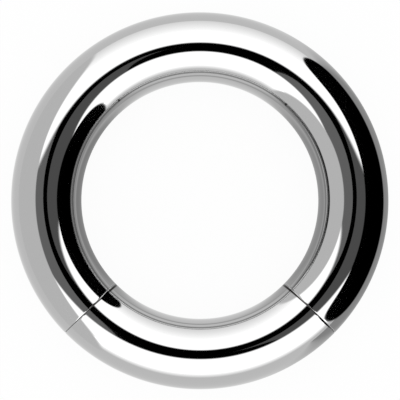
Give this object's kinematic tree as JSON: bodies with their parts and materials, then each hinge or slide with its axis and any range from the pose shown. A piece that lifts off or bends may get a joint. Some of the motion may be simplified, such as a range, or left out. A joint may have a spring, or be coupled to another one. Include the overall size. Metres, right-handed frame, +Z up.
{
  "type": "segment ring",
  "caption": "Thick round-wire body jewellery ring in mirror polished steel, with a bottom segment that snaps out to open it.",
  "frame": {"origin": "middle of the ring, on the surface that it lies on", "axes": "+Z up along the ring's own axis, -Y toward the middle of the removable segment, +X to the right in the picture"},
  "size_m": [0.035, 0.035, 0.0065],
  "materials": {
    "polished_steel": "polished",
    "pin_steel": "satin"
  },
  "bodies": {
    "ring": {"ring_body": "polished_steel"},
    "segment": {"segment": "polished_steel", "snap_pin_left": "pin_steel", "snap_pin_right": "pin_steel"}
  },
  "joints": [
    {"name": "segment_pull", "type": "slide", "parent": "ring", "child": "segment", "axis": [0, -1, 0], "range_m": [0, 0.012]}
  ]
}
